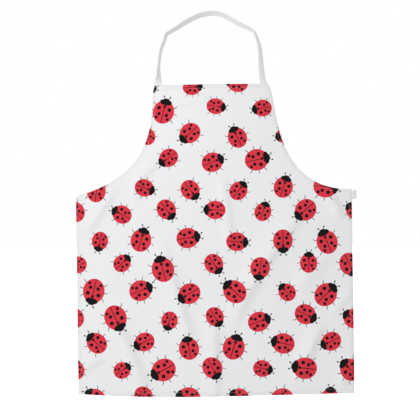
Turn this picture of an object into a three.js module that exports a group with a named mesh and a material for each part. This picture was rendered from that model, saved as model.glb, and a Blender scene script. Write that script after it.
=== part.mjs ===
// Bib apron in the form it takes when worn: one cut of cloth for bib and skirt, a tape that
// goes round the neck, and two waist ties that hang behind the skirt.
// Millimetres, +Z up. The front faces -Y and +X is to the right seen from the front.
// The origin is the middle of the neck tape, where it lies on the nape.
import * as THREE from "three";

const { clamp, degToRad, lerp, smoothstep } = THREE.MathUtils;

// Cloth and tape
const CLOTH_THICK = 1.2;
const HEM_THICK = 2.0; // a turned edge, with its extra layers on the back
const HEM_STEP = 1.5; // run over which a hem thins out to the single cloth
const BOTTOM_HEM = 12;
const SIDE_HEM = 9;
const BIB_HEM = 12;
const TAPE_WIDTH = 20;
const TAPE_THICK = 2;
const SEWN_LENGTH = 20; // how far a tape's end lies behind the cloth
const SEWN_GAP = 0.7; // kept between a tape's end and the cloth

// Outline seen from the front, as X and Z of its corners. Each armhole is a curve that leaves
// the waist corner towards its waist handle and reaches the bib corner from its bib handle. The
// bottom edge is a curve too, drawn down by its drops a third of the way in from each side.
const OUTLINE = {
  left: {
    hem: [-334, -964.5],
    waist: [-341.5, -474],
    waistHandle: [-107.5, -412],
    bibHandle: [-164, -240.5],
    bib: [-145.5, -197],
  },
  right: {
    hem: [352, -963],
    waist: [345.5, -456],
    waistHandle: [131, -460],
    bibHandle: [164.5, -210.5],
    bib: [136.5, -192.5],
  },
};
const HEM_DROPS = { left: 11, right: -3 };

// Depth of the cloth. Its middle hangs straight down from the belly, which stands this far in
// front of the nape, the sides curve back round the body, and the bib leans back over the chest.
const FRONT_Y = -145;
const HEM_Z = -965;
const WAIST_Z = -465;
const BIB_Z = -193;
const HEM_RADIUS = 2000;
const WAIST_RADIUS = 1500;
const BIB_RADIUS = 600;
const CHEST_Z = -430;
const CHEST_LEAN = 32;

// Folds are rounded ridges that stand forward of the cloth. Each crest runs from one place to
// another, seen from the front, and bows to its right as one goes along it. Broad and steep are
// the distances at which the ridge has lost most of its height, right and left of the crest.
const FOLDS = {
  waistToLowerMiddle: { from: [240, -495], to: [34, -822], bow: 20, height: 9, broad: 30, steep: 16 },
  rightOfLongFold: { from: [299, -602], to: [201, -717], bow: 8, height: 5, broad: 22, steep: 22 },
  rightSide: { from: [352, -700], to: [285, -775], bow: 0, height: 3, broad: 16, steep: 12 },
  lowerRight: { from: [272, -775], to: [197, -945], bow: 0, height: 8, broad: 20, steep: 14 },
  rightEdge: { from: [346, -862], to: [316, -955], bow: 0, height: 5, broad: 16, steep: 12 },
  underRightTie: { from: [268, -441], to: [326, -533], bow: 0, height: 7.5, broad: 16, steep: 13 },
  waistMiddle: { from: [24, -408], to: [54, -622], bow: 6, height: 5, broad: 16, steep: 12 },
  lowerMiddle: { from: [0, -735], to: [5, -1010], bow: 0, height: 7, broad: 22, steep: 13 },
  leftOfMiddle: { from: [-136, -562], to: [-42, -880], bow: 0, height: 8.5, broad: 28, steep: 14 },
  lowerLeft: { from: [-262, -740], to: [-158, -975], bow: 0, height: 11, broad: 30, steep: 18 },
  leftCorner: { from: [-266, -866], to: [-336, -908], bow: 0, height: 6, broad: 14, steep: 12 },
  leftSide: { from: [-252, -612], to: [-250, -722], bow: 0, height: 2, broad: 20, steep: 16 },
  underLeftTie: { from: [-234, -440], to: [-326, -576], bow: 0, height: 7, broad: 20, steep: 13 },
  leftArmhole: { from: [-110, -378], to: [-196, -505], bow: 30, height: 6, broad: 14, steep: 14 },
  acrossChest: { from: [165, -372], to: [-118, -382], bow: 30, height: 3, broad: 24, steep: 12 },
  acrossBib: { from: [4, -227], to: [-144, -254], bow: 0, height: 4, broad: 20, steep: 12 },
  rightBibCorner: { from: [118, -224], to: [132, -288], bow: 0, height: 4, broad: 24, steep: 13 },
};

// Free stretch of the neck tape, from the left bib corner over the nape to the right one. Back
// is measured from the nape. Roll is where the outer face looks: 0 to the front, 90 away from
// the neck, 180 to the back. The tape turns over once, at the right shoulder.
const NECK_ROUTE = [
  { x: -136.5, z: -172, back: -83, roll: 126 },
  { x: -136.5, z: -141, back: -70, roll: 107 },
  { x: -131.5, z: -101.5, back: -54, roll: 109 },
  { x: -123, z: -75, back: -41, roll: 112 },
  { x: -118, z: -60, back: -36, roll: 112 },
  { x: -104.5, z: -50, back: -31, roll: 114 },
  { x: -89.5, z: -40, back: -25, roll: 117 },
  { x: -59, z: -19, back: -13, roll: 121 },
  { x: -28, z: -4.5, back: -4, roll: 124 },
  { x: 0, z: 0, back: 0, roll: 122 },
  { x: 22, z: -3.8, back: -1.5, roll: 120 },
  { x: 64.5, z: -28, back: -13, roll: 120 },
  { x: 95, z: -46, back: -26, roll: 112 },
  { x: 108, z: -61, back: -33, roll: 62 },
  { x: 117.5, z: -88, back: -43, roll: 56 },
  { x: 120, z: -114.5, back: -56, roll: 48 },
  { x: 121, z: -141, back: -68, roll: 42 },
  { x: 123.5, z: -173, back: -83, roll: 33 },
];

// Where the neck tape goes behind the bib. Its roll there follows the curve of the bib.
const NECK_SEAMS = {
  left: { x: -137.5, z: -198, roll: 191.5 },
  right: { x: 126.5, z: -194.5, roll: 11.5 },
};

// Free stretch of a waist tie. Out is measured from the skirt's side edge, to which each row
// adds its share of the tie's reach past that edge. Up is from the tie's middle, and back is
// from the cloth's edge. Turn is the lie of the tape: 0 on edge, 90 flat on its side.
const TIE_ROUTE = [
  { reach: 0.3, out: 0, up: 0, back: 5, turn: 0 },
  { reach: 0.8, out: 0, up: 0, back: 8.5, turn: 0 },
  { reach: 1, out: 0, up: 0, back: 14, turn: 0 },
  { reach: 0.75, out: 0, up: -1, back: 19, turn: 4 },
  { reach: 0, out: -2, up: -2, back: 20, turn: 18 },
  { reach: 0, out: -20, up: -5, back: 13, turn: 52 },
  { reach: 0, out: -36, up: -11, back: 9, turn: 78 },
  { reach: 0, out: -47, up: -24, back: 7, turn: 90 },
  { reach: 0, out: -51, up: -46, back: 5, turn: 90 },
  { reach: 0, out: -52, up: -110, back: 3, turn: 90 },
  { reach: 0, out: -52, up: -270, back: 0, turn: 90 },
  { reach: 0, out: -52, up: -430, back: -2, turn: 90 },
];
const TIE_DROP = 12; // from the waist corner down to the tie's middle
const TIE_REACH = { left: 1, right: 12 };

// Fineness of the meshes
const COLUMNS = 42;
const SKIRT_ROWS = 27;
const ARMHOLE_ROWS = 18;
const RINGS_PER_STATION = 3;

const clothMaterial = new THREE.MeshStandardMaterial({ color: 0xe9eaec, roughness: 0.9 });
const tapeMaterial = new THREE.MeshStandardMaterial({ color: 0xe4e5e6, roughness: 0.85 });

// How far the folds lift the cloth forward at a place on it
function foldHeight(x, z) {
  let height = 0;
  for (const fold of Object.values(FOLDS)) {
    const start = new THREE.Vector2(...fold.from);
    const run = new THREE.Vector2(...fold.to).sub(start);
    const reach = new THREE.Vector2(x, z).sub(start);
    const along = reach.dot(run) / run.lengthSq();
    const off = reach.cross(run) / run.length() - fold.bow * 4 * along * (1 - along);
    const width = off < 0 ? fold.steep : fold.broad;
    const fade = Math.max(0, 1 - (2 * along - 1) ** 4) ** 2;
    height += fold.height * fade * Math.exp(-((off / width) ** 2));
  }
  return height;
}

// Y of the cloth's front face at a place seen from the front
function clothFront(x, z) {
  const skirtCurve = lerp(1 / HEM_RADIUS, 1 / WAIST_RADIUS, smoothstep(z, HEM_Z, WAIST_Z));
  const bibCurve = (1 / BIB_RADIUS - 1 / WAIST_RADIUS) * smoothstep(z, WAIST_Z, BIB_Z);
  const round = (x ** 2 / 2) * (skirtCurve + bibCurve);
  const lean = CHEST_LEAN * Math.max(0, (z - CHEST_Z) / (BIB_Z - CHEST_Z)) ** 2;
  return FRONT_Y + round + lean - foldHeight(x, z);
}

// Y of the middle of a tape that is sewn to the back of a hem
function behindHem(x, z) {
  return clothFront(x, z) + HEM_THICK + SEWN_GAP + TAPE_THICK / 2;
}

function geometryFrom(positions, index) {
  const geometry = new THREE.BufferGeometry();
  geometry.setAttribute("position", new THREE.Float32BufferAttribute(positions, 3));
  geometry.setIndex(index);
  geometry.computeVertexNormals();
  return geometry;
}

// How far the bottom edge lies below the straight line between its corners, by its share across
function hemDrop(share) {
  return 3 * share * (1 - share) * lerp(HEM_DROPS.left, HEM_DROPS.right, share);
}

// Rows of the cloth from hem to bib, each as its left end, its right end, its share of the drop
// of the bottom edge and whether it is hem
function clothRows() {
  const sides = ["left", "right"].map((side) => {
    const corner = (name) => new THREE.Vector2(...OUTLINE[side][name]);
    return {
      skirt: new THREE.LineCurve(corner("hem"), corner("waist")),
      armhole: new THREE.CubicBezierCurve(
        corner("waist"), corner("waistHandle"), corner("bibHandle"), corner("bib")),
    };
  });
  const rows = [];
  const addRow = (part, shareOf, hem) => {
    const shares = sides.map((curves) => shareOf(curves[part].getLength()));
    const [left, right] = sides.map((curves, i) => curves[part].getPointAt(shares[i]));
    rows.push({ left, right, drop: part === "skirt" ? 1 - shares[0] : 0, hem });
  };

  addRow("skirt", () => 0, true);
  addRow("skirt", (length) => BOTTOM_HEM / length, true);
  for (let i = 0; i < SKIRT_ROWS; i++) {
    addRow("skirt", (length) => lerp((BOTTOM_HEM + HEM_STEP) / length, 1, i / SKIRT_ROWS), false);
  }
  for (let i = 0; i <= ARMHOLE_ROWS; i++) {
    addRow("armhole", (length) => (1 - (BIB_HEM + HEM_STEP) / length) * (i / ARMHOLE_ROWS), false);
  }
  addRow("armhole", (length) => 1 - BIB_HEM / length, true);
  addRow("armhole", () => 1, true);
  return rows;
}

// Places along a row of a given width, as shares of it, with a hem at each end
function clothColumns(width) {
  const hem = SIDE_HEM / width;
  const hemEnd = (SIDE_HEM + HEM_STEP) / width;
  const columns = [{ share: 0, hem: true }, { share: hem, hem: true }];
  for (let i = 0; i <= COLUMNS; i++) {
    columns.push({ share: lerp(hemEnd, 1 - hemEnd, i / COLUMNS), hem: false });
  }
  columns.push({ share: 1 - hem, hem: true }, { share: 1, hem: true });
  return columns;
}

// The cloth as a closed wall: a front grid, a back grid and a rim between them
function clothGeometry() {
  const front = [];
  const back = [];
  const rows = clothRows();
  for (const row of rows) {
    for (const column of clothColumns(row.left.distanceTo(row.right))) {
      const place = row.left.clone().lerp(row.right, column.share);
      place.y -= row.drop * hemDrop(column.share);
      const y = clothFront(place.x, place.y);
      const thick = row.hem || column.hem ? HEM_THICK : CLOTH_THICK;
      front.push(place.x, y, place.y);
      back.push(place.x, y + thick, place.y);
    }
  }

  const across = front.length / 3 / rows.length;
  const layer = front.length / 3;
  const at = (row, column) => row * across + column;
  const index = [];
  for (let r = 0; r < rows.length - 1; r++) {
    for (let c = 0; c < across - 1; c++) {
      const [a, b, d, e] = [at(r, c), at(r, c + 1), at(r + 1, c + 1), at(r + 1, c)];
      index.push(a, b, d, a, d, e);
      index.push(layer + a, layer + d, layer + b, layer + a, layer + e, layer + d);
    }
  }

  const rim = [];
  for (let c = 0; c < across - 1; c++) rim.push(at(0, c));
  for (let r = 0; r < rows.length - 1; r++) rim.push(at(r, across - 1));
  for (let c = across - 1; c > 0; c--) rim.push(at(rows.length - 1, c));
  for (let r = rows.length - 1; r > 0; r--) rim.push(at(r, 0));
  rim.forEach((here, i) => {
    const next = rim[(i + 1) % rim.length];
    index.push(next, here, layer + here, next, layer + here, layer + next);
  });
  return geometryFrom([...front, ...back], index);
}

// A flat tape along a smooth route through stations. Each station has a point and an angle,
// and acrossAt gives the direction of the tape's width from the run of the route and the angle.
function tapeGeometry(stations, acrossAt) {
  const curve = new THREE.CatmullRomCurve3(stations.map((station) => station.point));
  const last = stations.length - 1;
  const rings = last * RINGS_PER_STATION;
  const positions = [];
  const index = [];
  for (let i = 0; i <= rings; i++) {
    const along = (i / rings) * last;
    const before = clamp(Math.floor(along), 0, last - 1);
    const angle = lerp(stations[before].angle, stations[before + 1].angle, along - before);
    const middle = curve.getPoint(i / rings);
    const run = curve.getTangent(i / rings);
    const across = acrossAt(run, degToRad(angle)).projectOnPlane(run).normalize();
    const face = across.clone().cross(run);
    for (const [f, w] of [[1, 1], [-1, 1], [-1, -1], [1, -1]]) {
      const corner = middle.clone();
      corner.addScaledVector(face, (f * TAPE_THICK) / 2);
      corner.addScaledVector(across, (w * TAPE_WIDTH) / 2);
      positions.push(...corner);
    }
  }
  for (let i = 0; i < rings; i++) {
    for (let k = 0; k < 4; k++) {
      const a = 4 * i + k;
      const b = 4 * i + ((k + 1) % 4);
      index.push(a, b, b + 4, a, b + 4, a + 4);
    }
  }
  const end = 4 * rings;
  index.push(0, 2, 1, 0, 3, 2, end, end + 1, end + 2, end, end + 2, end + 3);
  return geometryFrom(positions, index);
}

function neckStrapGeometry() {
  const seam = ({ x, z, roll }) => ({
    point: new THREE.Vector3(x, behindHem(x, z), z),
    angle: roll,
  });
  const { left, right } = NECK_SEAMS;
  const stations = [
    seam({ ...left, z: left.z - SEWN_LENGTH }),
    seam(left),
    ...NECK_ROUTE.map(({ x, z, back, roll }) => ({
      point: new THREE.Vector3(x, back, z),
      angle: roll,
    })),
    seam(right),
    seam({ ...right, z: right.z - SEWN_LENGTH }),
  ];
  const front = new THREE.Vector3(0, -1, 0);
  return tapeGeometry(stations, (run, roll) => {
    const outward = new THREE.Vector3(-run.z, 0, run.x).normalize();
    const face = front.clone().multiplyScalar(Math.cos(roll));
    face.addScaledVector(outward, Math.sin(roll));
    return run.clone().cross(face);
  });
}

function waistTieGeometry(side) {
  const sign = side === "left" ? -1 : 1;
  const [edgeX, cornerZ] = OUTLINE[side].waist;
  const middleZ = cornerZ - TIE_DROP;
  const edgeY = clothFront(edgeX, middleZ);
  const seam = (inside) => {
    const x = edgeX - sign * inside;
    return { point: new THREE.Vector3(x, behindHem(x, middleZ), middleZ), angle: 0 };
  };
  const free = TIE_ROUTE.map(({ reach, out, up, back, turn }) => ({
    point: new THREE.Vector3(
      edgeX + sign * (out + reach * TIE_REACH[side]), edgeY + back, middleZ + up),
    angle: turn,
  }));
  const stations = [seam(SEWN_LENGTH), seam(1), ...free];
  return tapeGeometry(
    stations, (run, turn) => new THREE.Vector3(0, -Math.sin(turn), -Math.cos(turn)));
}

function piece(name, geometry, material) {
  const mesh = new THREE.Mesh(geometry, material);
  mesh.name = name;
  return mesh;
}

const apron = new THREE.Group();
apron.add(
  piece("apron_body", clothGeometry(), clothMaterial),
  piece("neck_strap", neckStrapGeometry(), tapeMaterial),
  piece("waist_tie_left", waistTieGeometry("left"), tapeMaterial),
  piece("waist_tie_right", waistTieGeometry("right"), tapeMaterial),
);

export default apron;
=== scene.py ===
"""Looks of the bib apron: printed cloth with turned hems, woven tapes, stitching and a studio.

Lengths are in millimetres, in the part's own frame, until make_piece turns them into metres.
The front faces -Y, +X is to the right seen from the front, and the nape is the origin.
"""
import math
from collections import namedtuple

import bpy
import numpy as np
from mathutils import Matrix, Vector
from mathutils.kdtree import KDTree


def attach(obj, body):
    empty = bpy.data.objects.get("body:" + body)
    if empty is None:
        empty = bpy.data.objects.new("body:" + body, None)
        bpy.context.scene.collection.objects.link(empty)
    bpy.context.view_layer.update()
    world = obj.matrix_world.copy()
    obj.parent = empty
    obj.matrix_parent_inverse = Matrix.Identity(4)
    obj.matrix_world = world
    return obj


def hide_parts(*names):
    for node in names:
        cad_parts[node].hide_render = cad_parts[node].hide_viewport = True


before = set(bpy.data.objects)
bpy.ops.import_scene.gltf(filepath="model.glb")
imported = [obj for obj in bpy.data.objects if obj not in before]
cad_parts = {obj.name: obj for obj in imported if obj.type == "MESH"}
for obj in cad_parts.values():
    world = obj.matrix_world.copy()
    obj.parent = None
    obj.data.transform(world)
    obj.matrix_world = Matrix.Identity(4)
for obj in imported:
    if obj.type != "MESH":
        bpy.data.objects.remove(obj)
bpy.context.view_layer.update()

MM = 0.001

# Cloth
CLOTH_THICK = 0.8
HEM_THICK = 1.8
HEM_STEP = 0.5  # half the run over which a hem thins out to the single cloth
BOTTOM_HEM = 12
SIDE_HEM = 9
BIB_HEM = 12

# Tapes
TAPE_WIDTH = 20
TAPE_THICK = 2
TAPE_BLUNT = 16  # power that keeps a tape's thickness up to its edges
TAPE_CUP = 0.5  # how far the middle of a tape stands out from its edges
TURN_CUP = 5  # the same where the neck tape turns over
TURN_REACH = 16  # distance over which that deeper cup fades along the tape
NECK_TURN = (102, -30, -54)  # middle of the tape where it turns over
SEWN_LENGTH = 20
SEWN_OFFSET = 4.1  # from the cloth's front to the middle of a tape sewn behind it
TURNED_END = 9  # length of a tape's turned end
TURNED_STEP = 0.8  # run over which it thins out
TURNED_BULK = 1.7  # how much thicker it is

# Outline of the cloth seen from the front
OUTLINE = {
    "left": {
        "hem": (-334, -964.5),
        "waist": (-341.5, -474),
        "waist_handle": (-107.5, -412),
        "bib_handle": (-164, -240.5),
        "bib": (-145.5, -197),
    },
    "right": {
        "hem": (352, -963),
        "waist": (345.5, -456),
        "waist_handle": (131, -460),
        "bib_handle": (164.5, -210.5),
        "bib": (136.5, -192.5),
    },
}
HEM_DROPS = {"left": 11, "right": -3}  # of the bottom edge's curve, a third in from each side

# Depth of the cloth: curved round the body, and leaning back over the chest
FRONT_Y = -145
HEM_Z = -965
WAIST_Z = -465
BIB_Z = -193
HEM_RADIUS = 2000
WAIST_RADIUS = 1500
BIB_RADIUS = 600
CHEST_Z = -430
CHEST_LEAN = 32

# Folds: x and z of both ends of the crest, how far it bows to its right on the way, the height of
# the ridge, and its half width right and left of the crest
FOLD_COLUMNS = ("x1", "z1", "x2", "z2", "bow", "height", "broad", "steep")
FOLDS = (
    (240, -495, 34, -822, 20, 9, 30, 16),
    (299, -602, 201, -717, 8, 5, 22, 22),
    (352, -700, 285, -775, 0, 3, 16, 12),
    (272, -775, 197, -945, 0, 8, 20, 14),
    (346, -862, 316, -955, 0, 5, 16, 12),
    (268, -441, 326, -533, 0, 7.5, 16, 13),
    (24, -408, 54, -622, 6, 5, 16, 12),
    (0, -735, 5, -1010, 0, 7, 22, 13),
    (-136, -562, -42, -880, 0, 8.5, 28, 14),
    (-262, -740, -158, -975, 0, 11, 30, 18),
    (-266, -866, -336, -908, 0, 6, 14, 12),
    (-252, -612, -250, -722, 0, 2, 20, 16),
    (-234, -440, -326, -576, 0, 7, 20, 13),
    (-110, -378, -196, -505, 30, 6, 14, 14),
    (165, -372, -118, -382, 30, 3, 24, 12),
    (4, -227, -144, -254, 0, 4, 20, 12),
    (118, -224, 132, -288, 0, 4, 24, 13),
)
FOLD_GAIN = 1.3  # they stand higher here than in the solids, to match the photograph's shading

# Neck tape: its free stretch from the left bib corner over the nape to the right one. Roll is
# where its outer face looks: 0 to the front, 90 away from the neck, 180 to the back
NECK_COLUMNS = ("x", "z", "back", "roll")
NECK_ROUTE = (
    (-136.5, -172, -83, 126),
    (-136.5, -141, -70, 107),
    (-131.5, -101.5, -54, 109),
    (-123, -75, -41, 112),
    (-118, -60, -36, 112),
    (-104.5, -50, -31, 114),
    (-89.5, -40, -25, 117),
    (-59, -19, -13, 121),
    (-28, -4.5, -4, 124),
    (0, 0, 0, 122),
    (22, -3.8, -1.5, 120),
    (64.5, -28, -13, 120),
    (95, -46, -26, 112),
    (108, -61, -33, 62),
    (117.5, -88, -43, 56),
    (120, -114.5, -56, 48),
    (121, -141, -68, 42),
    (123.5, -173, -83, 33),
)
NECK_SEAMS = {  # x, z and roll where it goes behind the bib
    "left": (-137.5, -198, 191.5),
    "right": (126.5, -194.5, 11.5),
}

# Waist tie: its free stretch. Each row has a share of the tie's reach past the side edge, then
# its place from that edge. Turn is the lie of the tape: 0 on edge, 90 flat on its side
TIE_COLUMNS = ("reach", "out", "up", "back", "turn")
TIE_ROUTE = (
    (0.3, 0, 0, 5, 0),
    (0.8, 0, 0, 8.5, 0),
    (1, 0, 0, 14, 0),
    (0.75, 0, -1, 19, 4),
    (0, -2, -2, 20, 18),
    (0, -20, -5, 13, 52),
    (0, -36, -11, 9, 78),
    (0, -47, -24, 7, 90),
    (0, -51, -46, 5, 90),
    (0, -52, -110, 3, 90),
    (0, -52, -270, 0, 90),
    (0, -52, -430, -2, 90),
)
TIE_DROP = 12  # of its middle below the corner of the waist
TIE_MARGIN = 1  # from its seam to the side edge
TIE_REACH = {"left": 1, "right": 12}

# Fineness of the cloth's grid: lines beside each edge, by their distance from it, and between
SIDE_LINES = (0, 0.3, 0.8, 1.5, 2.4, 3.4, 6, 8.5, 9.5, 12)
END_LINES = (0, 0.3, 0.8, 1.5, 2.4, 3.4, 6, 8.5, 11.5, 12.5, 15)
COLUMNS = 146
SKIRT_ROWS = 118
ARMHOLE_ROWS = 78
RIM_ANGLES = (45, 90, 135)
RINGS_PER_STATION = 12
TAPE_STRIPS = 12
EDGE_POINTS = {"bottom": 1400, "top": 600, "side": 1000}

# A hem's outer edge: how far in it starts to curl, how far back it goes, and how much it thins
ROLL_WIDTH = 8.5
ROLL_DEPTH = 1.8
ROLL_THINS = 0.55

# Stitching
STITCH_PITCH = 3.2
STITCH_LENGTH = 2.1
STITCH_RADIUS = 0.15
STITCH_INSET = 1.8  # from a hem's inner edge
STITCH_ENDS = 12  # points of an edge at each end that have no stitches
SEAM_INSET = 2.5  # from the edge of a sewn tape end
SEAM_POINTS = 40  # along each line of a seam
PUCKER_HEIGHT = 0.16
PUCKER_REACH = 9
PUCKER_WAVES = ((15.5, 0.4), (23, 2.1))  # length and phase

# Print: ladybirds on two staggered lattices, each with its own place, turn and size
CELL_WIDE = 116
CELL_HIGH = 129
CELL_SHIFT = 9  # how far a ladybird may lie from the middle of its cell, each way
SIZE_LEAST = 0.86
SIZE_RANGE = 0.33
INK_EDGE = 0.35  # half the width over which the ink fades at its edge
PRINT_SEED = 11

# Ladybird seen from above, head up: its right half at size 1. An oval has its centre and radii,
# and a stroke its start, end and radius
WINGS = ((0, -2.5), (23.5, 26))
COLLAR = ((0, 19.3), (13.5, 6.6))
HEAD = ((0, 23.6), (7, 4.4))
SPOTS = (
    ((0, 9.5), (3.2, 2.9)),
    ((11.8, 4.5), (4.2, 4.1)),
    ((8.4, -8.5), (3.7, 3.8)),
    ((12.4, -17), (3.3, 3.2)),
)
WING_SPLIT = ((0, -26.5), (0, 6), 0.8)
LIMBS = (
    ((19, 9), (24.5, 12.5), 0.75),
    ((24.5, 12.5), (26.3, 15.5), 0.55),
    ((22, -3), (28, -2.6), 0.75),
    ((28, -2.6), (30.3, -4.6), 0.55),
    ((19, -16.5), (24.3, -20), 0.75),
    ((24.3, -20), (25.2, -23), 0.55),
    ((3.6, 26), (6.6, 31), 0.65),
)
FEELER_TIP = ((7, 31.8), (1.8, 1.8))

# Colours and finish
CLOTH_WHITE = (0.782, 0.791, 0.804, 1)
INK_RED = (0.66, 0.032, 0.054, 1)
INK_BLACK = (0.004, 0.004, 0.005, 1)
TAPE_WHITE = (0.83, 0.832, 0.837, 1)
# painted shade for the grooves between the ribs, also laid on at random as the tape's grain
TAPE_GROOVE_SHADE_AND_GRAIN = (0.71, 0.713, 0.722, 1)
THREAD_LIGHT = (0.9, 0.9, 0.905, 1)
THREAD_DARK = (0.76, 0.765, 0.78, 1)
FLOOR_WHITE = (0.9, 0.9, 0.9, 1)
SHOW_THROUGH = 0.07  # share of the print that shows on the back
INK_UNEVEN = 0.1  # how much its strength varies from place to place
WEAVE_SHADOW = (0.55, 0.56, 0.58, 1)
SLUB_SHADE = 0.06  # share of that shadow on the thick stretches of the threads
HEM_SHADE = 0.08  # and on the layers of a hem
WEAVE_PITCH = 0.6
COTTON_GRAIN = (1.4, 1.4)  # width and length of a grain
SLUB_GRAIN = (0.9, 9)
TAPE_GRAIN = (2.5, 7)
THREAD_GRAIN = 0.4
HERRINGBONE = 6.6  # width of one zigzag of a tape
RIB_PITCH = 1.3
SELVEDGE = (1.6, 1.0)  # from a tape's side, where its firm edge starts and where it is full

# Studio: the camera stands level before the belly, and the floor is where the wearer stands
CAMERA_X = -7.55
CAMERA_Z = -507.5
CAMERA_AWAY = 3000
SENSOR = 36
FRAME_PIXELS = 420
PIXEL = 2.46  # size of a pixel at the front of the apron
FLOOR_Z = -1450
FLOOR_RADIUS = 30000
FLOOR_SIDES = 96
FLOOR_GLOW = 0.9
LAMP_SIZE = 1600
LAMPS = {  # place and power
    "key": ((-1500, -3300, 1500), 64),
    "back": ((1900, 3000, 1300), 34),
}
SKY_LIGHT = 0.748
SKY_TILT = (-0.06, -0.03, -0.2)  # how much brighter the sky is towards +X, +Y and +Z
SKY_SEEN = 1  # brightness of the backdrop that the camera sees


def smoothstep(value, low, high):
    share = np.clip((value - low) / (high - low), 0, 1)
    return share * share * (3 - 2 * share)


def cloth_curve(z):
    """Curvature of the cloth round the body at a height."""
    skirt = 1 / HEM_RADIUS + (1 / WAIST_RADIUS - 1 / HEM_RADIUS) * smoothstep(z, HEM_Z, WAIST_Z)
    return skirt + (1 / BIB_RADIUS - 1 / WAIST_RADIUS) * smoothstep(z, WAIST_Z, BIB_Z)


def fold_height(x, z):
    """How far the folds lift the cloth forward."""
    height = np.zeros(np.broadcast(x, z).shape)
    for row in FOLDS:
        fold = dict(zip(FOLD_COLUMNS, row))
        run = np.array((fold["x2"] - fold["x1"], fold["z2"] - fold["z1"]))
        length = np.hypot(*run)
        across, up = x - fold["x1"], z - fold["z1"]
        along = (across * run[0] + up * run[1]) / length**2
        off = (across * run[1] - up * run[0]) / length - fold["bow"] * 4 * along * (1 - along)
        width = np.where(off < 0, fold["steep"], fold["broad"])
        fade = np.maximum(0, 1 - (2 * along - 1) ** 4) ** 2
        height += fold["height"] * fade * np.exp(-((off / width) ** 2))
    return FOLD_GAIN * height


def cloth_front(x, z):
    """Y of the cloth's front face at a place seen from the front."""
    around = x**2 / 2 * cloth_curve(z)
    lean = CHEST_LEAN * np.maximum(0, (z - CHEST_Z) / (BIB_Z - CHEST_Z)) ** 2
    return FRONT_Y + around + lean - fold_height(x, z)


def parabola_length(run, bend):
    """Length along y = bend * x * x / 2 from its middle out to x = run."""
    slope = bend * run
    return (run * np.sqrt(1 + slope**2) + np.arcsinh(slope) / bend) / 2


def flat_place(x, z):
    """Where a place on the cloth lies in the flat cut, across and along."""
    across = parabola_length(x, cloth_curve(z))
    lean_bend = 2 * CHEST_LEAN / (BIB_Z - CHEST_Z) ** 2
    rise = np.maximum(0, z - CHEST_Z)
    along = z - rise + parabola_length(rise, lean_bend)
    return np.stack((across, along), axis=-1)


def edge_curve(side, part, count=400):
    """Points along one side edge of the skirt or along one armhole, evenly spaced."""
    corner = {name: np.array(place, float) for name, place in OUTLINE[side].items()}
    t = np.linspace(0, 1, 4 * count)[:, None]
    if part == "skirt":
        points = corner["hem"] + (corner["waist"] - corner["hem"]) * t
    else:
        s = 1 - t
        points = s**3 * corner["waist"] + 3 * s**2 * t * corner["waist_handle"]
        points = points + 3 * s * t**2 * corner["bib_handle"] + t**3 * corner["bib"]
    return along_curve(points, np.linspace(0, 1, count) * curve_length(points))


def curve_length(points):
    return np.linalg.norm(np.diff(points, axis=0), axis=1).sum()


def along_curve(points, distances):
    """Points at the given distances along a polyline."""
    steps = np.linalg.norm(np.diff(points, axis=0), axis=1)
    place = np.concatenate(([0], np.cumsum(steps)))
    return np.stack([np.interp(distances, place, axis) for axis in points.T], axis=-1)


def row_ends(side):
    """Ends of the cloth's rows on one side, from hem to bib."""
    skirt = edge_curve(side, "skirt")
    armhole = edge_curve(side, "armhole")
    skirt_length = curve_length(skirt)
    armhole_length = curve_length(armhole)
    low = np.linspace(END_LINES[-1], skirt_length, SKIRT_ROWS + 1)
    low = np.concatenate((END_LINES[:-1], low))
    high = np.linspace(0, armhole_length - END_LINES[-1], ARMHOLE_ROWS + 1)[1:]
    high = np.concatenate((high, armhole_length - np.array(END_LINES[-2::-1])))
    return np.concatenate((along_curve(skirt, low), along_curve(armhole, high)))


def hem_drop(share):
    """How far the bottom edge lies below the straight line between its corners."""
    return 3 * share * (1 - share) * (HEM_DROPS["left"] * (1 - share) + HEM_DROPS["right"] * share)


def cloth_grid():
    """X and Z of the cloth's grid, by row and column."""
    hem_z, waist_z = OUTLINE["left"]["hem"][1], OUTLINE["left"]["waist"][1]
    rows = []
    for start, end in zip(row_ends("left"), row_ends("right")):
        width = np.hypot(*(end - start))
        lines = np.array(SIDE_LINES) / width
        middle = np.linspace(lines[-1], 1 - lines[-1], COLUMNS + 1)[1:-1]
        share = np.concatenate((lines, middle, 1 - lines[::-1]))
        row = start + (end - start) * share[:, None]
        row[:, 1] -= hem_drop(share) * max(0, (waist_z - start[1]) / (waist_z - hem_z))
        rows.append(row)
    return np.array(rows)


def cloth_edges():
    """Each edge of the cloth as evenly spaced points, with the width of its hem."""
    bottom = np.linspace(OUTLINE["left"]["hem"], OUTLINE["right"]["hem"], EDGE_POINTS["bottom"])
    bottom[:, 1] -= hem_drop(np.linspace(0, 1, len(bottom)))
    top = np.linspace(OUTLINE["left"]["bib"], OUTLINE["right"]["bib"], EDGE_POINTS["top"])
    edges = [(bottom, BOTTOM_HEM), (top, BIB_HEM)]
    for side in OUTLINE:
        for part in ("skirt", "armhole"):
            edges.append((edge_curve(side, part, EDGE_POINTS["side"]), SIDE_HEM))
    return edges


HemFacts = namedtuple("HemFacts", "inside nearest run off margin")


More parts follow.
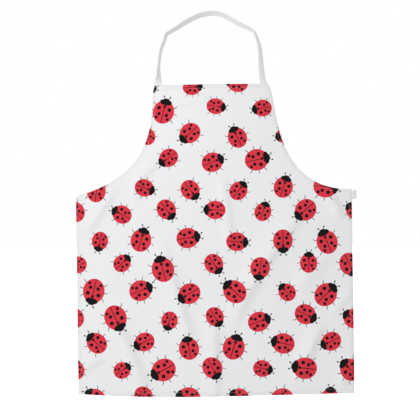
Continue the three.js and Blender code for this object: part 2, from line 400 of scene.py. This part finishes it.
def hem_facts(places):
    """For each place: how far inside a hem it is, the nearest point of that edge, the distance
    along that edge and from its stitches, and the distance from the nearest edge of all."""
    inside = np.full(len(places), -np.inf)
    margin = np.full(len(places), np.inf)
    nearest = np.zeros_like(places)
    run = np.zeros(len(places))
    off = np.zeros(len(places))
    for points, hem in cloth_edges():
        tree = KDTree(len(points))
        for i, (x, z) in enumerate(points):
            tree.insert((x, z, 0), i)
        tree.balance()
        step = curve_length(points) / (len(points) - 1)
        found = [tree.find((x, z, 0))[1:] for x, z in places]
        index = np.array([item[0] for item in found])
        distance = np.array([item[1] for item in found])
        margin = np.minimum(margin, distance)
        better = hem - distance > inside
        inside[better] = (hem - distance)[better]
        nearest[better] = points[index[better]]
        run[better] = index[better] * step
        off[better] = (distance - hem + STITCH_INSET)[better]
    return HemFacts(inside, nearest, run, off, margin)


def pucker(run, off):
    """Small waves that the thread draws into a hem."""
    waves = sum(np.sin(2 * math.pi * run / length + phase) for length, phase in PUCKER_WAVES)
    return PUCKER_HEIGHT * waves * np.exp(-((off / PUCKER_REACH) ** 2))


def curl(margin):
    """How far round its curl a place beside an edge is: 0 where it starts, 1 at the edge."""
    return np.clip(1 - margin / ROLL_WIDTH, 0, 1)


def sewn_front(places, hems):
    """Y of the cloth's front face with the puckers and curled edges of its hems."""
    back = ROLL_DEPTH * (1 - np.sqrt(1 - curl(hems.margin) ** 2))
    return cloth_front(*places.T) - pucker(hems.run, hems.off) + back


def make_piece(name, points, faces, material, maps=None, values=None):
    """A mesh object from points in millimetres, with UV maps and values given by vertex."""
    mesh = bpy.data.meshes.new(name)
    mesh.from_pydata((np.asarray(points) * MM).tolist(), [], faces)
    mesh.polygons.foreach_set("use_smooth", np.ones(len(mesh.polygons), bool))
    corners = np.empty(len(mesh.loops), int)
    mesh.loops.foreach_get("vertex_index", corners)
    for map_name, places in (maps or {}).items():
        layer = mesh.uv_layers.new(name=map_name)
        layer.uv.foreach_set("vector", (np.asarray(places)[corners] * MM).astype(np.float32).ravel())
    for value_name, numbers in (values or {}).items():
        attribute = mesh.attributes.new(value_name, "FLOAT", "POINT")
        attribute.data.foreach_set("value", np.asarray(numbers, np.float32))
    mesh.materials.append(material)
    piece = bpy.data.objects.new(name, mesh)
    bpy.context.scene.collection.objects.link(piece)
    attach(piece, "root")
    return piece


def grid_faces(rows, columns, start=0, flip=False):
    """Quads of a grid of vertices that are numbered row by row."""
    index = start + np.arange(rows * columns).reshape(rows, columns)
    corners = [index[:-1, :-1], index[:-1, 1:], index[1:, 1:], index[1:, :-1]]
    if flip:
        corners.reverse()
    return np.stack(corners, axis=-1).reshape(-1, 4).tolist()


def boundary_loop(rows, columns):
    """Numbers of a grid's boundary vertices, anticlockwise seen from the front."""
    index = np.arange(rows * columns).reshape(rows, columns)
    return np.concatenate((index[0, :-1], index[:-1, -1], index[-1, :0:-1], index[:0:-1, 0]))


def make_cloth(material):
    """Bib and skirt: a front, a back with its turned hems, and a rounded edge between them."""
    grid = cloth_grid()
    rows, columns = grid.shape[:2]
    places = grid.reshape(-1, 2)
    x, z = places.T
    hems = hem_facts(places)
    hem = smoothstep(hems.inside, -HEM_STEP, HEM_STEP)
    thick = CLOTH_THICK + (HEM_THICK - CLOTH_THICK) * hem
    y = sewn_front(places, hems)
    front = np.stack((x, y, z), axis=-1)
    back = np.stack((x, y + thick * (1 - ROLL_THINS * curl(hems.margin) ** 2), z), axis=-1)
    flat = flat_place(x, z)
    # A turned hem shows the stretch of print that lay beyond the edge
    turned = np.where(hem[:, None] > 0.5, 2 * flat_place(*hems.nearest.T) - flat, flat)

    loop = boundary_loop(rows, columns)
    ahead = np.roll(places[loop], -1, axis=0) - np.roll(places[loop], 1, axis=0)
    outward = np.stack((ahead[:, 1], 0 * ahead[:, 0], -ahead[:, 0]), axis=-1)
    outward /= np.linalg.norm(outward, axis=1)[:, None]
    rim = (back[loop, 1] - front[loop, 1]) / 2
    points = [front, back]
    rings = [loop]
    for angle in np.radians(RIM_ANGLES):
        rings.append(np.arange(len(loop)) + sum(len(part) for part in points))
        share = (1 - math.cos(angle)) / 2
        middle = front[loop] + (back[loop] - front[loop]) * share
        points.append(middle + outward * rim[:, None] * math.sin(angle))
    rings.append(loop + len(front))

    faces = grid_faces(rows, columns)
    faces += grid_faces(rows, columns, start=len(front), flip=True)
    for near, far in zip(rings, rings[1:]):
        quads = np.stack((np.roll(near, -1), near, far, np.roll(far, -1)), axis=-1)
        faces += quads.tolist()
    rims = len(RIM_ANGLES)
    maps = {"cut": np.concatenate((flat, turned, *[flat[loop]] * rims))}
    rim_values = np.ones(rims * len(loop))
    values = {
        "printed": np.concatenate((np.ones(len(front)), hem, rim_values)),
        "layered": np.concatenate((hem, hem, rim_values)),
    }
    cloth = make_piece("apron_cloth", np.concatenate(points), faces, material, maps, values)
    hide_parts("apron_body")
    return cloth


def smooth_route(points, per_station):
    """A centripetal spline through points, with its places numbered by station."""
    ends = np.concatenate(([2 * points[0] - points[1]], points, [2 * points[-1] - points[-2]]))
    route = []
    for p0, p1, p2, p3 in zip(ends, ends[1:], ends[2:], ends[3:]):
        d0, d1, d2 = (np.linalg.norm(b - a) ** 0.5 for a, b in ((p0, p1), (p1, p2), (p2, p3)))
        leave = ((p1 - p0) / d0 - (p2 - p0) / (d0 + d1) + (p2 - p1) / d1) * d1
        reach = ((p2 - p1) / d1 - (p3 - p1) / (d1 + d2) + (p3 - p2) / d2) * d1
        t = np.linspace(0, 1, per_station, endpoint=False)[:, None]
        cubic = 2 * p1 - 2 * p2 + leave + reach
        square = -3 * p1 + 3 * p2 - 2 * leave - reach
        route.append(p1 + leave * t + square * t**2 + cubic * t**3)
    return np.concatenate((*route, points[-1:]))


def tape_frames(points, angles, across_at):
    """Middle of a tape along its route, with the directions of its width and its face."""
    middle = smooth_route(np.array(points, float), RINGS_PER_STATION)
    stations = np.arange(len(middle)) / RINGS_PER_STATION
    angle = np.radians(np.interp(stations, np.arange(len(angles)), angles))
    run = np.gradient(middle, axis=0)
    run /= np.linalg.norm(run, axis=1)[:, None]
    across = across_at(run, angle)
    across -= (across * run).sum(1)[:, None] * run
    across /= np.linalg.norm(across, axis=1)[:, None]
    return middle, across, np.cross(across, run)


def tape_cup(middle):
    """Depth of the cup along a tape, and half the distance that is left between its edges."""
    away = np.linalg.norm(middle - np.array(NECK_TURN), axis=1)
    cup = TAPE_CUP + (TURN_CUP - TAPE_CUP) * np.exp(-((away / TURN_REACH) ** 2))
    # Half a shallow arc is longer than its half chord c by about 2/3 of cup squared over c
    half = TAPE_WIDTH / 2
    return cup, half / 2 + np.sqrt(half * half / 4 - 2 / 3 * cup * cup)


def make_tape(name, frames, node, material):
    """A woven tape with rounded edges, and thicker at both ends, where it is turned over."""
    middle, across, face = frames
    along = np.concatenate(([0], np.cumsum(np.linalg.norm(np.diff(middle, axis=0), axis=1))))
    cup, reach = tape_cup(middle)
    bulk = np.ones(len(middle))
    for away in (along, along[-1] - along):
        bulk += (TURNED_BULK - 1) * smoothstep(away, TURNED_END + TURNED_STEP, TURNED_END)
    strips = np.sin(np.linspace(-1, 1, TAPE_STRIPS + 1) * math.pi / 2)
    half_thick = TAPE_THICK / 2 * np.sqrt(np.maximum(0, 1 - strips**TAPE_BLUNT))
    section = list(zip(strips, half_thick))
    section += [(w, -half) for w, half in section[-2:0:-1]]
    count = len(section)
    points = np.empty((len(middle), count, 3))
    places = np.empty((len(middle), count, 2))
    for k, (w, half) in enumerate(section):
        lift = half * bulk + cup * (1 - w * w) * (2 - bulk)
        points[:, k] = middle + across * (w * reach)[:, None] + face * lift[:, None]
        places[:, k, 0] = w * TAPE_WIDTH / 2
        places[:, k, 1] = along
    points = points.reshape(-1, 3)
    index = np.arange(len(points)).reshape(len(middle), count)
    near, far = index[:-1], index[1:]
    quads = np.stack((near, far, np.roll(far, -1, axis=1), np.roll(near, -1, axis=1)), axis=-1)
    faces = quads.reshape(-1, 4).tolist()
    faces.append(index[0].tolist())
    faces.append(index[-1][::-1].tolist())
    tape = make_piece(name, points, faces, material, {"cut": places.reshape(-1, 2)})
    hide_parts(node)
    return tape, along[-1]


def neck_frames():
    """Frames of the neck tape, from one sewn end to the other."""
    def seam(x, z):
        return x, cloth_front(x, z) + SEWN_OFFSET, z

    left_x, left_z, left_roll = NECK_SEAMS["left"]
    right_x, right_z, right_roll = NECK_SEAMS["right"]
    rows = [dict(zip(NECK_COLUMNS, row)) for row in NECK_ROUTE]
    points = [seam(left_x, left_z - SEWN_LENGTH), seam(left_x, left_z)]
    points += [(row["x"], row["back"], row["z"]) for row in rows]
    points += [seam(right_x, right_z), seam(right_x, right_z - SEWN_LENGTH)]
    rolls = [left_roll] * 2 + [row["roll"] for row in rows] + [right_roll] * 2

    def across_at(run, roll):
        outward = np.stack((-run[:, 2], 0 * roll, run[:, 0]), axis=-1)
        outward /= np.linalg.norm(outward, axis=1)[:, None]
        face = np.sin(roll)[:, None] * outward
        face[:, 1] -= np.cos(roll)
        return np.cross(run, face)

    return tape_frames(points, rolls, across_at)


def tie_frames(side):
    """Frames of a waist tie, from its sewn end to its free one."""
    sign = -1 if side == "left" else 1
    edge_x, corner_z = OUTLINE[side]["waist"]
    middle_z = corner_z - TIE_DROP
    edge_y = cloth_front(edge_x, middle_z)
    points = []
    for inside in (SEWN_LENGTH, TIE_MARGIN):
        x = edge_x - sign * inside
        points.append((x, cloth_front(x, middle_z) + SEWN_OFFSET, middle_z))
    turns = [0, 0]
    for row in TIE_ROUTE:
        tie = dict(zip(TIE_COLUMNS, row))
        out = tie["out"] + tie["reach"] * TIE_REACH[side]
        points.append((edge_x + sign * out, edge_y + tie["back"], middle_z + tie["up"]))
        turns.append(tie["turn"])

    def across_at(run, turn):
        return np.stack((0 * turn, -np.sin(turn), -np.cos(turn)), axis=-1)

    return tape_frames(points, turns, across_at)


class Stitches:
    """Short threads that lie along lines on a surface, gathered into one mesh."""

    # Place along a thread, and its swell and lift there
    RINGS = ((-1, 0.3, -0.9), (-0.45, 1, 0.3), (0.45, 1, 0.3), (1, 0.3, -0.9))
    SIDES = 6

    def __init__(self):
        self.points = []
        self.faces = []

    def line(self, path, normals):
        """Stitches at an even pitch along a dense path, standing out along the normals."""
        length = curve_length(path)
        count = max(1, int(length / STITCH_PITCH))
        at = (np.arange(count) + 0.5) * length / count
        middles = along_curve(path, at)
        step = 0.3
        ahead = along_curve(path, at + step) - along_curve(path, at - step)
        steps = np.concatenate(([0], np.cumsum(np.linalg.norm(np.diff(path, axis=0), axis=1))))
        ups = np.stack([np.interp(at, steps, axis) for axis in normals.T], axis=-1)
        for middle, run, up in zip(middles, ahead, ups):
            self.add(middle, run / np.linalg.norm(run), up / np.linalg.norm(up))

    def add(self, middle, run, up):
        start = len(self.points)
        side = np.cross(up, run)
        for place, swell, lift in self.RINGS:
            centre = middle + run * place * STITCH_LENGTH / 2 + up * lift * STITCH_RADIUS
            for k in range(self.SIDES):
                angle = 2 * math.pi * k / self.SIDES
                spoke = side * math.cos(angle) + up * math.sin(angle)
                self.points.append(centre + spoke * swell * STITCH_RADIUS)
        for ring in range(len(self.RINGS) - 1):
            for k in range(self.SIDES):
                a = start + ring * self.SIDES + k
                b = start + ring * self.SIDES + (k + 1) % self.SIDES
                self.faces.append((a, a + self.SIDES, b + self.SIDES, b))
        self.faces.append(tuple(range(start, start + self.SIDES)))
        self.faces.append(tuple(range(len(self.points) - 1, len(self.points) - 1 - self.SIDES, -1)))


def cloth_normals(places):
    """Front-facing normals of the cloth."""
    x, z = places.T
    step = 0.5
    slope_x = (cloth_front(x + step, z) - cloth_front(x - step, z)) / (2 * step)
    slope_z = (cloth_front(x, z + step) - cloth_front(x, z - step)) / (2 * step)
    normals = np.stack((slope_x, -np.ones(len(x)), slope_z), axis=-1)
    return normals / np.linalg.norm(normals, axis=1)[:, None]


def on_cloth(places, behind):
    """Points on the sewn cloth at X and Z places, a distance behind its front face."""
    x, z = places.T
    return np.stack((x, sewn_front(places, hem_facts(places)) + behind, z), axis=-1)


def inset_line(points, inset):
    """A line beside an edge, towards the cloth's middle, stopped short of both ends."""
    ahead = np.gradient(points, axis=0)
    inward = np.stack((-ahead[:, 1], ahead[:, 0]), axis=-1)
    inward /= np.linalg.norm(inward, axis=1)[:, None]
    centre = np.array((0, (HEM_Z + BIB_Z) / 2))
    middle = len(points) // 2
    if inward[middle] @ (centre - points[middle]) < 0:
        inward = -inward
    return (points + inward * inset)[STITCH_ENDS:-STITCH_ENDS]


def make_hem_stitches(material):
    """A line of stitches along each hem, on the front and on the back."""
    stitches = Stitches()
    for points, hem in cloth_edges():
        line = inset_line(points, hem - STITCH_INSET)
        stitches.line(on_cloth(line, 0), cloth_normals(line))
        stitches.line(on_cloth(line, HEM_THICK), -cloth_normals(line))
    piece = make_piece("hem_stitches", stitches.points, stitches.faces, material)
    return piece


def make_seam_stitches(material):
    """A crossed square of stitches where each tape is sewn to the cloth."""
    stitches = Stitches()
    half = SEWN_LENGTH / 2 - SEAM_INSET
    middles = [(x, z - SEWN_LENGTH / 2) for x, z, _ in NECK_SEAMS.values()]
    for side, sign in (("left", 1), ("right", -1)):
        x, z = OUTLINE[side]["waist"]
        middles.append((x + sign * SEWN_LENGTH / 2, z - TIE_DROP))
    square = np.array(((-1, -1), (1, -1), (1, 1), (-1, 1))) * half
    lines = [(square[i], square[(i + 1) % 4]) for i in range(4)]
    lines += [(square[0], square[2]), (square[1], square[3])]
    for middle in middles:
        for start, end in lines:
            places = np.array(middle) + np.linspace(start, end, SEAM_POINTS)
            stitches.line(on_cloth(places, 0), cloth_normals(places))
    piece = make_piece("seam_stitches", stitches.points, stitches.faces, material)
    return piece


class Field:
    """A number that varies over a surface, so that node formulas read as formulas."""

    def __init__(self, tree, socket):
        self.tree = tree
        self.socket = socket

    def math(self, operation, *others, clamp=False):
        node = self.tree.nodes.new("ShaderNodeMath")
        node.operation = operation
        node.use_clamp = clamp
        for entry, value in zip(node.inputs, (self, *others)):
            if isinstance(value, Field):
                self.tree.links.new(value.socket, entry)
            else:
                entry.default_value = value
        return Field(self.tree, node.outputs[0])

    def __add__(self, other):
        return self.math("ADD", other)

    def __sub__(self, other):
        return self.math("SUBTRACT", other)

    def __mul__(self, other):
        return self.math("MULTIPLY", other)

    def __truediv__(self, other):
        return self.math("DIVIDE", other)

    def __abs__(self):
        return self.math("ABSOLUTE")

    def least(self, other):
        return self.math("MINIMUM", other)

    def floor(self):
        return self.math("FLOOR")

    def fract(self):
        return self.math("FRACT")

    def sine(self):
        return self.math("SINE")

    def cosine(self):
        return self.math("COSINE")

    def ramp(self, low, high):
        """0 below low to 1 above high, smoothly, or the other way if high is below low."""
        node = self.tree.nodes.new("ShaderNodeMapRange")
        node.interpolation_type = "SMOOTHSTEP"
        self.tree.links.new(self.socket, node.inputs["Value"])
        node.inputs["From Min"].default_value = min(low, high)
        node.inputs["From Max"].default_value = max(low, high)
        node.inputs["To Min"].default_value = 0 if low < high else 1
        node.inputs["To Max"].default_value = 1 if low < high else 0
        return Field(self.tree, node.outputs["Result"])


def distance(x, y):
    return (x * x + y * y).math("SQRT")


def oval(x, y, centre, radii):
    """How far outside an oval a place is, less than 0 inside."""
    scaled = distance((x - centre[0]) / radii[0], (y - centre[1]) / radii[1])
    return (scaled - 1) * min(radii)


def stroke(x, y, start, end, radius):
    """How far outside a round-ended stroke a place is."""
    run_x, run_y = end[0] - start[0], end[1] - start[1]
    from_x, from_y = x - start[0], y - start[1]
    length = run_x**2 + run_y**2
    share = (from_x * (run_x / length)).math("ADD", from_y * (run_y / length), clamp=True)
    return distance(from_x - share * run_x, from_y - share * run_y) - radius


def new_material(name):
    material = bpy.data.materials.new(name)
    material.use_nodes = True
    tree = material.node_tree
    return material, tree, tree.nodes["Principled BSDF"]


def cut_places(tree):
    """Across and along in the flat cut, in millimetres."""
    node = tree.nodes.new("ShaderNodeUVMap")
    node.uv_map = "cut"
    parts = tree.nodes.new("ShaderNodeSeparateXYZ")
    tree.links.new(node.outputs["UV"], parts.inputs["Vector"])
    return Field(tree, parts.outputs["X"]) / MM, Field(tree, parts.outputs["Y"]) / MM


def vertex_value(tree, name):
    node = tree.nodes.new("ShaderNodeAttribute")
    node.attribute_name = name
    return Field(tree, node.outputs["Fac"])


def noise(tree, x, y, wide, long):
    """Smooth noise about 0.5, with its own grain size across and along in millimetres."""
    joined = tree.nodes.new("ShaderNodeCombineXYZ")
    tree.links.new((x / wide).socket, joined.inputs["X"])
    tree.links.new((y / long).socket, joined.inputs["Y"])
    node = tree.nodes.new("ShaderNodeTexNoise")
    node.inputs["Scale"].default_value = 1
    node.inputs["Detail"].default_value = 2
    tree.links.new(joined.outputs["Vector"], node.inputs["Vector"])
    return Field(tree, node.outputs["Fac"])


def cell_chances(tree, column, row, seed):
    """Four random numbers from 0 to 1 for each cell of the print."""
    joined = tree.nodes.new("ShaderNodeCombineXYZ")
    tree.links.new(column.socket, joined.inputs["X"])
    tree.links.new(row.socket, joined.inputs["Y"])
    joined.inputs["Z"].default_value = seed
    node = tree.nodes.new("ShaderNodeTexWhiteNoise")
    node.noise_dimensions = "3D"
    tree.links.new(joined.outputs["Vector"], node.inputs["Vector"])
    parts = tree.nodes.new("ShaderNodeSeparateColor")
    tree.links.new(node.outputs["Color"], parts.inputs["Color"])
    chances = [Field(tree, parts.outputs[name]) for name in ("Red", "Green", "Blue")]
    return chances + [Field(tree, node.outputs["Value"])]


def mix_colour(tree, share, under, over, blend="MIX"):
    """Colour over, laid on colour under by a share. Each is a colour or a socket."""
    node = tree.nodes.new("ShaderNodeMix")
    node.data_type = "RGBA"
    node.blend_type = blend
    tree.links.new(share.socket, node.inputs["Factor"])
    for entry, colour in ((node.inputs[6], under), (node.inputs[7], over)):
        if isinstance(colour, bpy.types.NodeSocket):
            tree.links.new(colour, entry)
        else:
            entry.default_value = colour
    return node.outputs[2]


def lattice_places(tree, across, along, stagger):
    """Places in the ladybird of each cell of one lattice: across to its right, along to its head."""
    wide = across / CELL_WIDE + stagger
    high = along / CELL_HIGH + stagger
    column, row = wide.floor(), high.floor()
    chances = cell_chances(tree, column, row, PRINT_SEED + stagger)
    x = (wide - column - 0.5) * CELL_WIDE + (chances[0] - 0.5) * (2 * CELL_SHIFT)
    y = (high - row - 0.5) * CELL_HIGH + (chances[1] - 0.5) * (2 * CELL_SHIFT)
    turn = chances[2] * (2 * math.pi)
    size = chances[3] * SIZE_RANGE + SIZE_LEAST
    cosine, sine = turn.cosine(), turn.sine()
    return (x * cosine + y * sine) / size, (y * cosine - x * sine) / size


def ladybird_places(tree, across, along):
    """Places in the nearest ladybird: across from its middle line, and along to its head."""
    x1, y1 = lattice_places(tree, across, along, 0)
    x2, y2 = lattice_places(tree, across, along, 0.5)
    second = distance(x2, y2).math("LESS_THAN", distance(x1, y1))
    return abs(x1 + (x2 - x1) * second), y1 + (y2 - y1) * second


def print_colour(tree, across, along, strength):
    """Colour of the printed cloth."""
    side, ahead = ladybird_places(tree, across, along)

    def ink(shape):
        return shape.ramp(INK_EDGE, -INK_EDGE) * strength

    limbs = oval(side, ahead, *HEAD).least(oval(side, ahead, *FEELER_TIP))
    for start, end, radius in LIMBS:
        limbs = limbs.least(stroke(side, ahead, start, end, radius))
    marks = oval(side, ahead, *COLLAR).least(stroke(side, ahead, *WING_SPLIT))
    for spot in SPOTS:
        marks = marks.least(oval(side, ahead, *spot))
    colour = mix_colour(tree, ink(limbs), CLOTH_WHITE, INK_BLACK)
    colour = mix_colour(tree, ink(oval(side, ahead, *WINGS)), colour, INK_RED)
    return mix_colour(tree, ink(marks), colour, INK_BLACK)


def weave_height(across, along, pitch):
    """Plain weave: threads that pass over and under each other."""
    warp = (across * (math.pi / pitch)).sine()
    weft = (along * (math.pi / pitch)).sine()
    return abs(warp) * 0.5 + abs(weft) * 0.5 + warp * weft * 0.35


def add_bump(tree, shader, height, strength, depth):
    bump = tree.nodes.new("ShaderNodeBump")
    bump.inputs["Strength"].default_value = strength
    bump.inputs["Distance"].default_value = depth * MM
    tree.links.new(height.socket, bump.inputs["Height"])
    tree.links.new(bump.outputs["Normal"], shader.inputs["Normal"])


def cloth_material():
    """White plain-weave cloth, printed on its face, with the print faint on the reverse."""
    material, tree, shader = new_material("printed_cloth")
    across, along = cut_places(tree)
    printed = vertex_value(tree, "printed").ramp(0.3, 0.7)
    uneven = noise(tree, across, along, *COTTON_GRAIN)
    strength = printed * (1 - SHOW_THROUGH) + SHOW_THROUGH
    strength = strength * (uneven * INK_UNEVEN + (1 - INK_UNEVEN / 2))
    colour = print_colour(tree, across, along, strength.math("MINIMUM", 1))
    warp_slubs = noise(tree, across, along, *SLUB_GRAIN)
    slubs = warp_slubs.math("MAXIMUM", noise(tree, across, along, *SLUB_GRAIN[::-1]))
    shadow = slubs.ramp(0.45, 0.75) * SLUB_SHADE + vertex_value(tree, "layered") * HEM_SHADE
    colour = mix_colour(tree, shadow, colour, WEAVE_SHADOW, blend="MULTIPLY")
    tree.links.new(colour, shader.inputs["Base Color"])
    tree.links.new((uneven * 0.16 + 0.78).socket, shader.inputs["Roughness"])
    shader.inputs["Specular IOR Level"].default_value = 0.12
    shader.inputs["Sheen Weight"].default_value = 0.03
    shader.inputs["Sheen Roughness"].default_value = 0.5
    add_bump(tree, shader, weave_height(across, along, WEAVE_PITCH) + slubs * 1.5, 0.35, 0.08)
    return material


def tape_material():
    """White herringbone tape with a firm edge on both sides."""
    material, tree, shader = new_material("white_tape")
    across, along = cut_places(tree)
    zigzag = abs((across / HERRINGBONE + 0.25).fract() - 0.5) * HERRINGBONE
    ribs = ((zigzag + along) * (2 * math.pi / RIB_PITCH)).sine() * 0.5 + 0.5
    edge = abs(across).ramp(*(TAPE_WIDTH / 2 - inset for inset in SELVEDGE))
    uneven = noise(tree, across, along, *TAPE_GRAIN)
    height = ribs * (edge * -0.7 + 1) + edge * 0.8 + uneven * 0.4
    # Darker in the grooves between the ribs as painted shade, and darker at random with the tape's
    # grain
    groove_shade_and_grain = (ribs * -1 + 1) * 0.3 + uneven * 0.25
    colour = mix_colour(tree, groove_shade_and_grain, TAPE_WHITE, TAPE_GROOVE_SHADE_AND_GRAIN)
    tree.links.new(colour, shader.inputs["Base Color"])
    tree.links.new((uneven * 0.2 + 0.7).socket, shader.inputs["Roughness"])
    shader.inputs["Specular IOR Level"].default_value = 0.3
    shader.inputs["Sheen Weight"].default_value = 0.1
    shader.inputs["Sheen Roughness"].default_value = 0.5
    add_bump(tree, shader, height, 0.5, 0.16)
    return material


def thread_material():
    """White twisted sewing thread."""
    material, tree, shader = new_material("white_thread")
    node = tree.nodes.new("ShaderNodeTexCoord")
    grain = tree.nodes.new("ShaderNodeTexNoise")
    grain.inputs["Scale"].default_value = 1 / (THREAD_GRAIN * MM)
    tree.links.new(node.outputs["Object"], grain.inputs["Vector"])
    fibres = Field(tree, grain.outputs["Fac"])
    colour = mix_colour(tree, fibres, THREAD_LIGHT, THREAD_DARK)
    tree.links.new(colour, shader.inputs["Base Color"])
    tree.links.new((fibres * 0.2 + 0.45).socket, shader.inputs["Roughness"])
    add_bump(tree, shader, fibres, 0.4, 0.06)
    return material


def make_camera():
    camera = bpy.data.objects.new("camera", bpy.data.cameras.new("camera"))
    camera.data.sensor_width = SENSOR
    camera.data.lens = SENSOR * CAMERA_AWAY / (FRAME_PIXELS * PIXEL)
    camera.location = Vector((CAMERA_X, FRONT_Y - CAMERA_AWAY, CAMERA_Z)) * MM
    camera.rotation_euler = (math.pi / 2, 0, 0)
    bpy.context.scene.collection.objects.link(camera)
    bpy.context.scene.camera = camera


def make_floor():
    angles = np.linspace(0, 2 * math.pi, FLOOR_SIDES, endpoint=False)
    points = np.stack((np.cos(angles), np.sin(angles), 0 * angles), axis=-1) * FLOOR_RADIUS
    mesh = bpy.data.meshes.new("floor")
    mesh.from_pydata(((points + (0, 0, FLOOR_Z)) * MM).tolist(), [], [tuple(range(len(points)))])
    material, _, shader = new_material("floor")
    shader.inputs["Base Color"].default_value = FLOOR_WHITE
    shader.inputs["Roughness"].default_value = 0.9
    shader.inputs["Emission Color"].default_value = (1, 1, 1, 1)
    shader.inputs["Emission Strength"].default_value = FLOOR_GLOW
    mesh.materials.append(material)
    floor = bpy.data.objects.new("floor", mesh)
    floor.visible_diffuse = False
    bpy.context.scene.collection.objects.link(floor)


def make_light():
    scene = bpy.context.scene
    scene.view_settings.view_transform = "Standard"
    for name, (place, power) in LAMPS.items():
        light = bpy.data.lights.new(name, "AREA")
        light.shape = "DISK"
        light.size = LAMP_SIZE * MM
        light.energy = power
        lamp = bpy.data.objects.new(name, light)
        lamp.location = Vector(place) * MM
        aim = Vector((0, FRONT_Y, CAMERA_Z)) * MM - lamp.location
        lamp.rotation_euler = aim.to_track_quat("-Z", "Y").to_euler()
        scene.collection.objects.link(lamp)

    scene.world = bpy.data.worlds.new("studio")
    scene.world.use_nodes = True
    tree = scene.world.node_tree
    sky = tree.nodes["Background"]
    sky.inputs["Color"].default_value = (1, 1, 1, 1)
    place = tree.nodes.new("ShaderNodeTexCoord")
    tilt = tree.nodes.new("ShaderNodeVectorMath")
    tilt.operation = "DOT_PRODUCT"
    tree.links.new(place.outputs["Generated"], tilt.inputs[0])
    tilt.inputs[1].default_value = SKY_TILT
    light = Field(tree, tilt.outputs["Value"]) + SKY_LIGHT
    ray = tree.nodes.new("ShaderNodeLightPath")
    seen = Field(tree, ray.outputs["Is Camera Ray"])
    strength = light + seen * (light * -1 + SKY_SEEN)
    tree.links.new(strength.socket, sky.inputs["Strength"])


make_camera()
make_floor()
make_light()

white_tape = tape_material()
white_thread = thread_material()
cloth = make_cloth(cloth_material())
hem_stitches = make_hem_stitches(white_thread)
seam_stitches = make_seam_stitches(white_thread)

neck_tape, neck_length = make_tape("neck_tape", neck_frames(), "neck_strap", white_tape)
for tie_side in ("left", "right"):
    tie, tie_length = make_tape(
        f"tie_tape_{tie_side}", tie_frames(tie_side), f"waist_tie_{tie_side}", white_tape)
